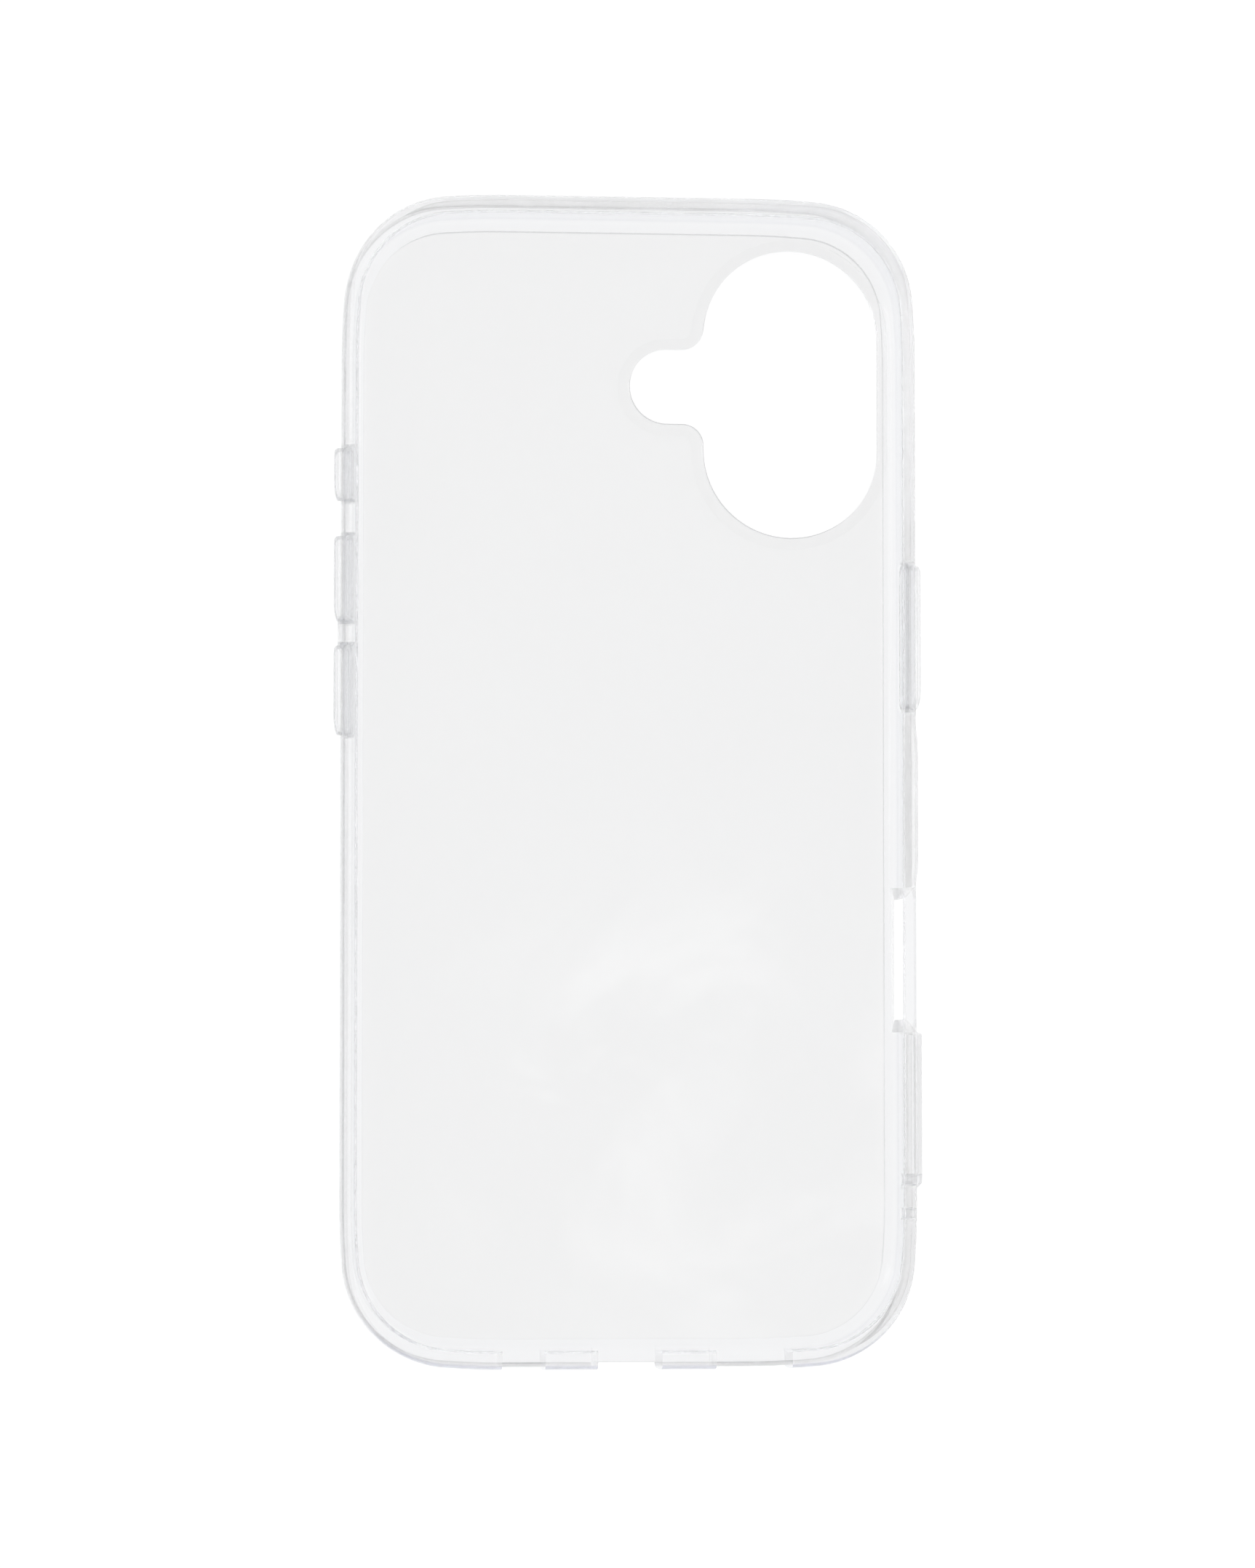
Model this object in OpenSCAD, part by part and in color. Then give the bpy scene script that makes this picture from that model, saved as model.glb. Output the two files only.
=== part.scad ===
// Clear two-shot phone case: a hard back panel in a soft bumper frame, with sprung button covers.
// It lies on its back: +Z points out of the open front and +Y to the camera end.

/* [Case] */
// Width across the side walls, without the buttons
case_w = 74.6; // [74.2:0.1:77]
// Length from the bottom end to the camera end
case_l = 151.9; // [151:0.1:155]
// Depth from the back face to the top of the lip
case_d = 10.4; // [10.2:0.1:12]
// Radius of the tight middle arc of each corner
corner_r = 14.1; // [13.2:0.1:15]
// Thickness of each side wall
side_wall = 1.55; // [1.3:0.05:1.7]
// Thickness of each end wall
end_wall = 2.1; // [1.9:0.05:2.4]
// How far the lip reaches in over the pocket
lip_reach = 0.4; // [0.2:0.05:0.6]
// Radius of the cove between the floor and the walls
cove_r = 1.6; // [1.2:0.1:1.8]

/* [Back panel] */
// Thickness of the hard panel
panel_t = 1.4; // [1.2:0.1:1.8]

/* [Camera opening] */
// Centre of the camera opening, to the right of the middle
camera_x = 21.9; // [21:0.1:22]
// Centre of the camera opening, towards the camera end
camera_y = 51.3; // [50:0.1:52]
// Radius of the round ends of the opening
camera_r = 11.5; // [11:0.1:11.6]
// Length of the opening's straight sides
camera_straight = 14.9; // [13:0.1:15.5]
// Radius of the round flash lobe
flash_r = 4.9; // [4.5:0.1:5.1]
// How far the guard stands below the back face
guard_h = 0.7; // [0.5:0.1:1]
// Width of the guard collar
guard_w = 1.5; // [1.2:0.1:1.5]

/* [Buttons] */
// How far each button cover stands out of its wall
button_proud = 0.9; // [0.6:0.1:1.2]
// Height of each button cover along the case's depth
button_h = 3.8; // [3.2:0.1:4.4]
// Relief gap round each button cover
button_gap = 0.4; // [0.35:0.05:0.5]
// Thickness of the flexible skin that joins a cover to its wall
web_t = 0.4; // [0.3:0.05:0.5]

/* [Cut-outs] */
// Length of the side cut-out that leaves the camera control open
control_l = 18.9; // [17:0.1:20]
// Width of the charging socket cut-out
usb_w = 8.3; // [8:0.1:9]
// Width of the microphone cut-out
mic_w = 5.6; // [5:0.1:6]
// Width of the speaker cut-out
speaker_w = 9.9; // [9:0.1:10.5]
// Radius of each strap hole
strap_r = 0.8; // [0.6:0.05:0.9]

/* [Hidden] */
$fn = 96;
eps = 0.01;

// Heights, from the floor that the guard rests on
back_z = guard_h;
floor_z = back_z + panel_t;
top_z = back_z + case_d;
lip_h = 1.15;
lip_z = top_z - lip_h;
mid_z = back_z + 5.6;

// The shallow arcs that lead into each corner. Their angle, 4.35 degrees, has an exact sine and cosine,
// and so has the step between the arcs' centres: the three arcs meet with no gap.
lead_sin = 0.07584;
lead_cos = 0.99712;
turn = 93.75;
lead_r = corner_r + turn;
reach = lead_r - turn * (lead_cos - lead_sin);

// Size and arc reduction of the phone pocket
pocket_w = case_w - 2 * side_wall;
pocket_l = case_l - 2 * end_wall;

// Depth of the swept band that makes a solid's rim, and how far in its flat core starts
rim = 8;
core_in = 5;

// Outer side of the wall: a gentle belly between a rounded heel and a rounded brow.
// The two rounds' centres lie a little inside the outline.
belly_r = 60;
heel_r = 2;
heel_in = heel_r + 0.15;
brow_r = 1;
brow_in = brow_r + 0.2;

// Lip: how high its inner face stops below the top, and how far its chamfer leans back
lip_flat = 0.3;
lip_ease = 0.2;

// How far a cutting shape runs past the solid that it cuts
over = 1;

// Button and cut-out places along the case: [centre, length]
action_at = [39.55, 6.9];
volume_up_at = [26.0, 11.2];
volume_down_at = [11.55, 11.7];
power_at = [18.95, 18.9];
control_y = -22.95;
grip_at = [-42.65, 20.5];
strap_y = [-51.6, -56.0];
strap_z = back_z + 4.6;
usb_x = -0.2;
mic_x = -13.9;
speaker_x = 15.9;

// Raised pads on the side walls: [centre, length], how proud, the tapers' length, the height
grip_pad = [grip_at, 0.75, 0.4, 6.4];
power_pad = [[-2.6, 22.4], 0.35, 4, 6.4];
volume_pad = [[19, 5], 0.35, 0.8, 6];
pad_root = 0.6;
pad_sink = 0.05;

// Camera opening: the flash lobe's centre and the radius of the coves beside it
flash_x = 5.6;
flash_dy = 0.8;
flash_cove_r = 2.8;

// Guard collar: how far its edge is cut back, and how high
guard_ease = 0.25;

// Button covers: corner radius, rounding of the pad's edge, and the gap to the phone
button_r = 1.5;
button_round = 0.35;
button_clear = 0.05;
web_in = 0.35;
web_slip = 0.02;

// Camera control cut-out: how far its ends slope, how far in it reaches and what it leaves of the lip
control_slope = 1.6;
control_deep = 1.95;
control_flare = 0.6;
control_under = 0.15;

// Bottom cut-outs: how high their sills stand over the floor, and the plug's notch in the floor's edge
sill_h = 0.3;
usb_sill_h = 0.1;
usb_notch = 0.75;

function direction(a) = [cos(a), sin(a)];

// Points of an arc about c, from angle a0 to a1
function arc(c, r, a0, a1, n) = [for (i = [0:n]) c + r * direction(a0 + (a1 - a0) * i / n)];

// Points rounded to a micron, so that swept pieces meet exactly
function exact(points) = [for (p = points) [round(p.x * 1000) / 1000, round(p.y * 1000) / 1000]];

// How far the bellied wall falls back at height z
function belly(z) = sqrt(belly_r * belly_r - (z - mid_z) * (z - mid_z)) - belly_r;

// Outer side of the wall, as [distance from the outline, height]
outer_side = exact(concat(
    arc([-heel_in, back_z + heel_r], heel_r, -90, -6, 7),
    [for (z = [back_z + 3:1.3:top_z - 1.2]) [belly(z), z]],
    arc([-brow_in, top_z - brow_r], brow_r, 12, 90, 5)
));

// Inner side of the pocket, as [distance from the pocket's outline, height]
pocket_side = exact(concat(
    [[-cove_r, floor_z - eps]],
    arc([-cove_r, floor_z + cove_r], cove_r, -90, 0, 7),
    [
        [0, lip_z],
        [-lip_reach, lip_z + lip_reach],
        [-lip_reach, top_z - lip_flat],
        [-lip_reach + lip_ease, top_z],
        [-lip_reach + lip_ease, top_z + over]
    ]
));

// Rectangle [distance, height] side, for flat slabs
function slab_side(inset, z0, z1) = [[-inset, z0], [-inset, z1]];

// A slice of rim: the side's points, closed along a line parallel to the height
function rim_points(side, r, inner) = concat(
    [[r - inner, side[0].y]],
    [for (p = side) [r + p.x, p.y]],
    [[r - inner, side[len(side) - 1].y]]
);

// One arc of rim about its centre, cut out between two directions
module rim_arc(side, r, from, to) {
    far = 1.4 * r;
    bow = 0.625;
    intersection() {
        rotate_extrude() polygon(rim_points(side, r, min(rim, r)));
        translate([0, 0, -over])
            linear_extrude(top_z + 3 * over)
                polygon([[0, 0], far * from, far * bow * (from + to), far * to]);
    }
}

// Centres of a corner's three arcs, in the first quadrant of an outline that is w wide and l long
function corner_centres(w, l, shrink) =
    let (
        c1 = [w / 2 - lead_r + shrink, l / 2 - reach + shrink],
        c2 = c1 + turn * [lead_cos, lead_sin]
    )
    [c1, c2, c2 - turn * [lead_sin, lead_cos]];

// A corner of a solid that is w wide and l long, in the first quadrant
module rim_corner(side, w, l, shrink) {
    c = corner_centres(w, l, shrink);
    translate(c[0]) rim_arc(side, lead_r - shrink, [1, 0], [lead_cos, lead_sin]);
    translate(c[1]) rim_arc(side, corner_r - shrink, [lead_cos, lead_sin], [lead_sin, lead_cos]);
    translate(c[2]) rim_arc(side, lead_r - shrink, [lead_sin, lead_cos], [0, 1]);
}

// A straight stretch of rim along +X's side, 2 * half long
module rim_straight(side, at, half) {
    translate([0, half, 0])
        rotate([90, 0, 0])
            linear_extrude(2 * half)
                polygon(rim_points(side, at, rim));
}

// Corner points of the flat core, well inside the rim, in the first quadrant
function core_points(w, l, shrink) =
    let (
        c = corner_centres(w, l, shrink),
        r_lead = lead_r - shrink - core_in,
        r_mid = corner_r - shrink - core_in
    )
    [
        c[0] + r_lead * [1, 0],
        c[1] + r_mid * [lead_cos, lead_sin],
        c[1] + r_mid * direction(45),
        c[1] + r_mid * [lead_sin, lead_cos],
        c[2] + r_lead * [0, 1]
    ];

function flipped(points, sx, sy) = [for (p = points) [sx * p.x, sy * p.y]];
function reversed(points) = [for (i = [len(points) - 1:-1:0]) points[i]];

// The solid inside an outline: corners and straights swept with the side's points, round a flat core
module swept_solid(side, w, l, shrink) {
    z0 = side[0].y;
    z1 = side[len(side) - 1].y;
    core = core_points(w, l, shrink);
    for (sx = [0, 1], sy = [0, 1])
        mirror([sx, 0, 0]) mirror([0, sy, 0]) rim_corner(side, w, l, shrink);
    for (sx = [0, 1])
        mirror([sx, 0, 0]) rim_straight(side, w / 2, l / 2 - reach + shrink);
    for (s = [90, -90])
        rotate([0, 0, s]) rim_straight(side, l / 2, w / 2 - reach + shrink);
    translate([0, 0, z0])
        linear_extrude(z1 - z0)
            polygon(concat(
                core, reversed(flipped(core, -1, 1)),
                flipped(core, -1, -1), reversed(flipped(core, 1, -1))
            ));
}

// Outline of the camera opening, grown by g: a pill, a flash lobe and the coves between them
module camera_outline(g) {
    flash_dx = flash_x - camera_x;
    lobe = flash_r + g;
    round_r = flash_cove_r - g;
    // The cove's centre is round_r outside both the lobe's edge and the pill's straight side
    cove_x = -camera_r - g - round_r;
    translate([camera_x, camera_y]) {
        for (s = [-1, 1])
            translate([0, s * camera_straight / 2]) circle(camera_r + g);
        square([2 * (camera_r + g), camera_straight], center = true);
        translate([flash_dx, flash_dy]) circle(lobe);
        translate([flash_dx, flash_dy - lobe]) square([-flash_dx, 2 * lobe]);
        for (s = [-1, 1])
            difference() {
                translate([cove_x, flash_dy + s * (lobe + round_r / 2)])
                    translate([0, -round_r / 2]) square([round_r + 1, round_r]);
                translate([cove_x, flash_dy + s * (lobe + round_r)]) circle(round_r);
            }
    }
}

// Outline of a button cover or its window, across the wall: length along Y, height along Z
module button_outline(length, height) {
    r = min(button_r, height / 2 - 0.1);
    square([length - 2 * r, height], center = true);
    square([length, height - 2 * r], center = true);
    for (sx = [-1, 1], sy = [-1, 1])
        translate([sx * (length / 2 - r), sy * (height / 2 - r)]) circle(r);
}

// Stands a flat outline up in the right-hand wall, from x0 to x1
module across_wall(at, x0, x1) {
    translate([x0, at, mid_z])
        rotate([90, 0, 90])
            linear_extrude(x1 - x0) children();
}

// Window and relief for one button in the right-hand wall
module button_window(at) {
    across_wall(at[0], pocket_w / 2 - 1, case_w / 2 + 2)
        button_outline(at[1] + 2 * button_gap, button_h + 2 * button_gap);
}

// One button cover in the right-hand wall: a bar through the window with a round-edged outer pad
module button_cover(at) {
    outer_x = case_w / 2 + button_proud;
    pad_x = outer_x - button_round;
    across_wall(at[0], pocket_w / 2 + button_clear, pad_x) button_outline(at[1], button_h);
    hull() {
        across_wall(at[0], pad_x - eps, pad_x)
            button_outline(at[1], button_h, $fn = 32);
        across_wall(at[0], outer_x - eps, outer_x)
            button_outline(at[1] - 2 * button_round, button_h - 2 * button_round, $fn = 32);
    }
}

// The flexible skin between one cover and its window
module button_web(at) {
    web_x = pocket_w / 2 + web_in;
    across_wall(at[0], web_x, web_x + web_t)
        difference() {
            button_outline(at[1] + 2 * button_gap, button_h + 2 * button_gap);
            button_outline(at[1] + 2 * web_slip, button_h + 2 * web_slip);
        }
}

// A raised pad on the right-hand wall, tapered at its two ends
module wall_pad(pad) {
    half = pad[0][1] / 2;
    height = pad[3];
    root_x = case_w / 2 - pad_root;
    foot_x = case_w / 2 - pad_sink;
    face_x = case_w / 2 + pad[1];
    face_half = half - pad[2];
    translate([0, pad[0][0], mid_z - height / 2])
        linear_extrude(height)
            polygon([
                [root_x, -half], [foot_x, -half], [face_x, -face_half],
                [face_x, face_half], [foot_x, half], [root_x, half]
            ]);
}

// Camera control cut-out: open to the outside and to the back, bridged by the lip
module control_cutout() {
    inner_x = case_w / 2 - control_deep;
    inner_half = control_l / 2 - control_slope;
    outer_x = case_w / 2 + 2 * over;
    outer_half = control_l / 2 + control_flare;
    translate([0, control_y, -over])
        linear_extrude(lip_z + over - control_under)
            polygon([
                [inner_x, -inner_half], [outer_x, -outer_half],
                [outer_x, outer_half], [inner_x, inner_half]
            ]);
}

// A cut-out in the bottom end wall, open to the front, down to height z
module bottom_cutout(x, w, z) {
    translate([x - w / 2, -case_l / 2 - over, z])
        cube([w, over + end_wall + cove_r, top_z - z + over]);
}

// The charging socket's cut-out: open to the front, and notched into the floor's edge for the plug
module usb_cutout() {
    outside = -case_l / 2 - over;
    notch = -case_l / 2 + usb_notch;
    inside = -case_l / 2 + end_wall + cove_r;
    sill = floor_z + usb_sill_h;
    translate([usb_x - usb_w / 2, 0, 0])
        rotate([90, 0, 90])
            linear_extrude(usb_w)
                polygon([
                    [outside, -over], [notch, -over], [notch, sill],
                    [inside, sill], [inside, top_z + over], [outside, top_z + over]
                ]);
}

module back_panel() {
    color([0.90, 0.91, 0.92, 0.5])
        difference() {
            swept_solid(slab_side(cove_r, back_z, floor_z), pocket_w, pocket_l, side_wall);
            translate([0, 0, back_z - over])
                linear_extrude(panel_t + 2 * over) camera_outline(0);
        }
}

module bumper_frame() {
    color([0.82, 0.85, 0.90, 0.5])
        difference() {
            union() {
                swept_solid(outer_side, case_w, case_l, 0);
                wall_pad(grip_pad);
                wall_pad(power_pad);
                mirror([1, 0, 0]) wall_pad(volume_pad);
            }
            swept_solid(pocket_side, pocket_w, pocket_l, side_wall);
            swept_solid(slab_side(cove_r, back_z - over, floor_z + eps), pocket_w, pocket_l, side_wall);
            button_window(power_at);
            mirror([1, 0, 0]) {
                button_window(action_at);
                button_window(volume_up_at);
                button_window(volume_down_at);
            }
            control_cutout();
            bottom_cutout(mic_x, mic_w, floor_z + sill_h);
            bottom_cutout(speaker_x, speaker_w, floor_z + sill_h);
            usb_cutout();
            for (y = strap_y)
                translate([case_w / 2 - 3 * over, y, strap_z])
                    rotate([0, 90, 0])
                        cylinder(r = strap_r, h = 5 * over);
        }
}

module camera_guard() {
    color([0.86, 0.88, 0.92, 0.5])
        difference() {
            union() {
                translate([0, 0, guard_ease])
                    linear_extrude(guard_h - guard_ease) camera_outline(guard_w);
                linear_extrude(guard_h) camera_outline(guard_w - guard_ease);
            }
            translate([0, 0, -over]) linear_extrude(guard_h + 2 * over) camera_outline(0);
        }
}

module action_button() {
    color([0.75, 0.80, 0.90, 0.6]) mirror([1, 0, 0]) button_cover(action_at);
}

module volume_up_button() {
    color([0.75, 0.80, 0.90, 0.6]) mirror([1, 0, 0]) button_cover(volume_up_at);
}

module volume_down_button() {
    color([0.75, 0.80, 0.90, 0.6]) mirror([1, 0, 0]) button_cover(volume_down_at);
}

module power_button() {
    color([0.75, 0.80, 0.90, 0.6]) button_cover(power_at);
}

module action_web() {
    color([0.88, 0.90, 0.94, 0.5]) mirror([1, 0, 0]) button_web(action_at);
}

module volume_up_web() {
    color([0.88, 0.90, 0.94, 0.5]) mirror([1, 0, 0]) button_web(volume_up_at);
}

module volume_down_web() {
    color([0.88, 0.90, 0.94, 0.5]) mirror([1, 0, 0]) button_web(volume_down_at);
}

module power_web() {
    color([0.88, 0.90, 0.94, 0.5]) button_web(power_at);
}

back_panel();
bumper_frame();
camera_guard();
action_button();
volume_up_button();
volume_down_button();
power_button();
action_web();
volume_up_web();
volume_down_web();
power_web();
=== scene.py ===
"""A clear phone case lying on its back on a white light table, seen from its open front."""

import math

import bmesh
import bpy
from mathutils import Matrix, Vector


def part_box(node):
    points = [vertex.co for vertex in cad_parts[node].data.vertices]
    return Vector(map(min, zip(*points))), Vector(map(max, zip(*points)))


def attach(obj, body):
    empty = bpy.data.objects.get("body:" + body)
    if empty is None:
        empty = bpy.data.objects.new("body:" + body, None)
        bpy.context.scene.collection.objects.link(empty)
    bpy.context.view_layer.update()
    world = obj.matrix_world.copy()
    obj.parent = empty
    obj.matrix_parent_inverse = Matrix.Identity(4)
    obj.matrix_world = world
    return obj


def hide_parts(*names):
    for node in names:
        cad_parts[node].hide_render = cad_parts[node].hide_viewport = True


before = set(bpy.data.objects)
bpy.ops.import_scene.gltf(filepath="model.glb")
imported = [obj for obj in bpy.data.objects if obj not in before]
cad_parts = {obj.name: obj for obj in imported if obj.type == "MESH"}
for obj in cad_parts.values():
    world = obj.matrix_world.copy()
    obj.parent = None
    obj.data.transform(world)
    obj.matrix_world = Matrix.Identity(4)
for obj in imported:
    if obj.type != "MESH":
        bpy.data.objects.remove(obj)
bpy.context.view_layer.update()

MM = 0.001


def box_mm(node):
    """Lowest and highest corners of a CAD node, in millimetres."""
    low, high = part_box(node)
    return low / MM, high / MM


# ---- Sizes, in millimetres: places come from the CAD nodes' boxes, and the wall's own dimensions stand here

FRAME_LO, FRAME_HI = box_mm("bumper_frame")
PANEL_HI = box_mm("back_panel")[1]
GUARD_LO, GUARD_HI = box_mm("camera_guard")
BUTTONS = ("action", "volume_up", "volume_down", "power")

# The end walls are thicker, and the pocket's sides lead over to that from END_WALL_FROM on
SIDE_WALL = 1.55
END_WALL = 2.1
END_WALL_FROM = 57.5
COVE_R = 1.6
LIP_REACH = 0.4
LIP_HEIGHT = 1.15
LIP_FACE = 0.6
RIM_IN = 1.42
BELLY_R = 60.0
HEEL_R, HEEL_IN = 2.0, 0.15
BROW_R, BROW_IN = 1.0, 0.2

# A corner is three arcs: a tight one between two wide ones, whose radius is TURN larger.
# LEAD_SIN and LEAD_COS belong to the small angle that a wide one turns through.
CORNER_R = 14.1
LEAD_SIN, LEAD_COS, TURN = 0.07584, 0.99712, 93.75
LEAD_R = CORNER_R + TURN
LEAD_RUN = LEAD_R * LEAD_SIN
REACH = LEAD_R - TURN * (LEAD_COS - LEAD_SIN)

BACK_Z = FRAME_LO.z
TOP_Z = FRAME_HI.z
FLOOR_Z = PANEL_HI.z
LIP_Z = TOP_Z - LIP_HEIGHT
MID_Z = BACK_Z + 5.6
HALF_W = PANEL_HI.x + COVE_R + SIDE_WALL
HALF_L = FRAME_HI.y
STRAIGHT_L = HALF_L - REACH
STRAIGHT_W = HALF_W - REACH

CONTROL_Y, CONTROL_HALF = -22.95, 9.45
CONTROL_SLOPE = 1.6
STRAP_Y, STRAP_R, STRAP_Z = (-51.6, -56.0), 0.8, BACK_Z + 4.6
USB_X, USB_HALF, USB_NOTCH = -0.2, 4.15, 0.75
MIC_X, MIC_HALF = -13.9, 2.8
SPEAKER_X, SPEAKER_HALF = 15.9, 4.95
SILL_Z = FLOOR_Z + 0.3
USB_SILL_Z = FLOOR_Z + 0.1
BUTTON_R = 1.5
SEAM = 0.015

CAMERA_R, CAMERA_HALF = 11.5, 7.45
FLASH_R, FLASH_DX, FLASH_DY = 4.9, -16.3, 0.8
CAMERA_COVE = 2.8
GUARD_WIDTH = 1.5
GUARD_GAP = 0.02
CAMERA_X = GUARD_HI.x - GUARD_WIDTH - CAMERA_R
CAMERA_Y = (GUARD_LO.y + GUARD_HI.y) / 2

PANEL_BEVEL, GUARD_BEVEL = 0.25, 0.22

STATION_STEP, PLAIN_STEP = 1.3, 3.0
CORNER_STEPS, PLAIN_CORNER_STEPS = 30, 24
SAME_PLACE = 1e-6
MERGE_WITHIN = 1e-5


def smooth(t):
    """0 below 0, 1 above 1, and a smooth rise between."""
    t = min(1.0, max(0.0, t))
    return t * t * (3 - 2 * t)


# ---- The wall's section: pairs of rows, one outside and one inside, from the panel's seat up to the lip

# Heights of the rows that the buttons' windows and the strap holes need, on both surfaces
WINDOW_ROWS = (4.0, 4.25, 4.5, 4.66, 4.82, 5.0, 5.3, 5.6, 5.78, 5.94, 6.1,
               6.45, 6.8, 7.1, 7.35, 7.6, 7.85, 8.1, 8.3, 8.45, 8.6)
HIGH_ROWS = (9.0, 9.4, 9.8)
LOW_OUTER_ROWS, LOW_INNER_ROWS = (3.2, 3.6), (3.75, 3.88)
BACK_SHARES = (0.3, 0.55, 0.8)
HEEL_ANGLES = (-90, -84.26, -73, -60, -47, -34, -21, -8.63, -3)
COVE_ANGLES = (-90, -80, -70, -60, -50, -41.4, -34, -27, -20, -14, -9, -5, -2)
BROW_ANGLES = (12, 23, 34, 45, 56, 67, 78, 90)
# The lip's rounded top: how far back from its face, and how far down from its top
LIP_CROWN = ((0.0, 0.3), (0.04, 0.15), (0.14, 0.05), (0.3, 0.0))
SILL_ROW = 11
CONTROL_ROW = 5


def belly(z):
    """How far the gently bellied outer wall falls back at height z."""
    return math.sqrt(BELLY_R ** 2 - (z - MID_Z) ** 2) - BELLY_R


def arc_rows(kind, offset, height, radius, angles):
    """Rows on an arc about a centre at this offset and height."""
    turns = [math.radians(a) for a in angles]
    return [(kind, offset + radius * math.cos(t), height + radius * math.sin(t)) for t in turns]


def outer_rows():
    """Outer rows as (kind, offset, height): offset is outward, from the seat's or the outer outline."""
    back_in, back_out = -(SIDE_WALL + COVE_R), -(HEEL_R + HEEL_IN)
    back = [("outer", back_in + (back_out - back_in) * t, BACK_Z) for t in BACK_SHARES]
    heel = arc_rows("outer", -HEEL_R - HEEL_IN, BACK_Z + HEEL_R, HEEL_R, HEEL_ANGLES)
    side = [("outer", belly(z), z) for z in LOW_OUTER_ROWS + WINDOW_ROWS + HIGH_ROWS]
    brow = arc_rows("outer", -BROW_R - BROW_IN, TOP_Z - BROW_R, BROW_R, BROW_ANGLES)
    return [("seat", -COVE_R, BACK_Z)] + back + heel + side + brow + [("outer", -RIM_IN, TOP_Z)]


def inner_rows():
    """Inner rows, paired with the outer ones: the cove, the pocket's wall and the rounded lip."""
    cove = arc_rows("seat", -COVE_R, FLOOR_Z + COVE_R, COVE_R, COVE_ANGLES)
    side = [("seat", 0.0, z) for z in LOW_INNER_ROWS + WINDOW_ROWS + HIGH_ROWS]
    ramp = [("seat", -step, LIP_Z + step) for step in (0.0, LIP_REACH / 2, LIP_REACH)]
    crown = [("seat", -LIP_REACH + back, TOP_Z - down) for back, down in LIP_CROWN]
    lip = ramp + [("seat", -LIP_REACH, LIP_Z + LIP_FACE)] + crown
    return cove + side + lip + [("outer", -RIM_IN, TOP_Z)]


OUTER = outer_rows()
INNER = inner_rows()
ROWS = len(OUTER)
assert ROWS == len(INNER)
FIRST_WINDOW_ROW = 1 + len(BACK_SHARES) + len(HEEL_ANGLES) + len(LOW_OUTER_ROWS)
LAST_WINDOW_ROW = FIRST_WINDOW_ROW + len(WINDOW_ROWS) - 1
CONTROL_TOP_ROW = LAST_WINDOW_ROW + len(HIGH_ROWS)


# ---- Stations along the wall: (side, coordinate along it, x, y, normal x, normal y)

def side_station(side, s):
    """A station on one side: s is y on the right and left, and x on the top and bottom."""
    straight, half = (STRAIGHT_L, HALF_W) if side in "RL" else (STRAIGHT_W, HALF_L)
    over = max(0.0, abs(s) - straight)
    sine = over / LEAD_R
    cosine = math.sqrt(1 - sine * sine)
    out = half - LEAD_R + LEAD_R * cosine
    lean = math.copysign(sine, s)
    if side in "RL":
        sign = 1 if side == "R" else -1
        return (side, s, sign * out, s, sign * cosine, lean)
    sign = 1 if side == "T" else -1
    return (side, s, s, sign * out, lean, sign * cosine)


def corner_stations(sx, sy, steps):
    """The tight middle arc of one corner, from its side's end to its top or bottom end."""
    cx = HALF_W - LEAD_R + TURN * LEAD_COS
    cy = HALF_L - REACH + TURN * LEAD_SIN
    first = math.asin(LEAD_SIN)
    found = []
    for i in range(1, steps):
        a = first + (math.pi / 2 - 2 * first) * i / steps
        nx, ny = math.cos(a), math.sin(a)
        found.append(("C", 0.0, sx * (cx + CORNER_R * nx), sy * (cy + CORNER_R * ny), sx * nx, sy * ny))
    return found


def along(low, high, step, extra):
    """Coordinates from low to high, about a step apart, that hit every extra one."""
    keep = sorted(set([low, high] + [e for e in extra if low < e < high]))
    out = []
    for a, b in zip(keep, keep[1:]):
        n = max(1, math.ceil((b - a) / step))
        out += [a + (b - a) * i / n for i in range(n)]
    return out + [high]


def window_stops(centre, half, radius):
    """Stations that a rounded window needs at its two ends."""
    insets = [radius * (1 - math.cos(math.radians(a))) for a in (0, 20, 35, 50, 65, 80)] + [radius]
    reaches = [half - inset for inset in insets] + [half + 0.3]
    return [centre + sign * reach for sign in (-1, 1) for reach in reaches]


def taper_stops(low, high, low_taper, high_taper):
    """Stations that a raised pad's tapered ends need."""
    shares = [i / 5 for i in range(6)]
    return [low + low_taper * t for t in shares] + [high - high_taper * t for t in shares]


# Raised pads of the outer wall: (side, low end, high end, low taper, high taper, how proud, half height)
PADS = (
    ("R", -52.9, -32.4, 1.1, 0.35, 0.75, 3.2),
    ("R", -13.8, 8.6, 3.2, 4.5, 0.35, 3.2),
    ("L", 16.5, 21.5, 0.9, 0.9, 0.35, 3.0),
)
PAD_FADE = 1.0


def pad_proud(side, s, z):
    """How far the raised pads stand out at a place on the outer wall."""
    total = 0.0
    for pad_side, low, high, low_taper, high_taper, proud, half in PADS:
        if side == pad_side and low < s < high:
            ends = smooth((s - low) / low_taper) * smooth((high - s) / high_taper)
            total += proud * ends * smooth((half + PAD_FADE / 2 - abs(z - MID_Z)) / PAD_FADE)
    return total


class Hole:
    """An opening in the wall, between two coordinates of one side and two rows.

    A radius rounds its corners, a slope makes it shorter inside than outside, and a sill opens it
    upwards from that height, with a notch in the wall below the sill.
    """

    def __init__(self, side, low, high, row_low, row_high, radius=0.0, slope=0.0, sill=None, notch=0.0):
        self.side, self.low, self.high = side, low, high
        self.middle, self.half = (low + high) / 2, (high - low) / 2
        self.row_low, self.row_high = row_low, row_high
        self.radius, self.slope, self.sill, self.notch = radius, slope, sill, notch


def button_window(name):
    """The window that one button's web fills."""
    low, high = box_mm(name + "_web")
    side = "R" if low.x > 0 else "L"
    return Hole(side, low.y, high.y, FIRST_WINDOW_ROW, LAST_WINDOW_ROW, radius=BUTTON_R)


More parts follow.
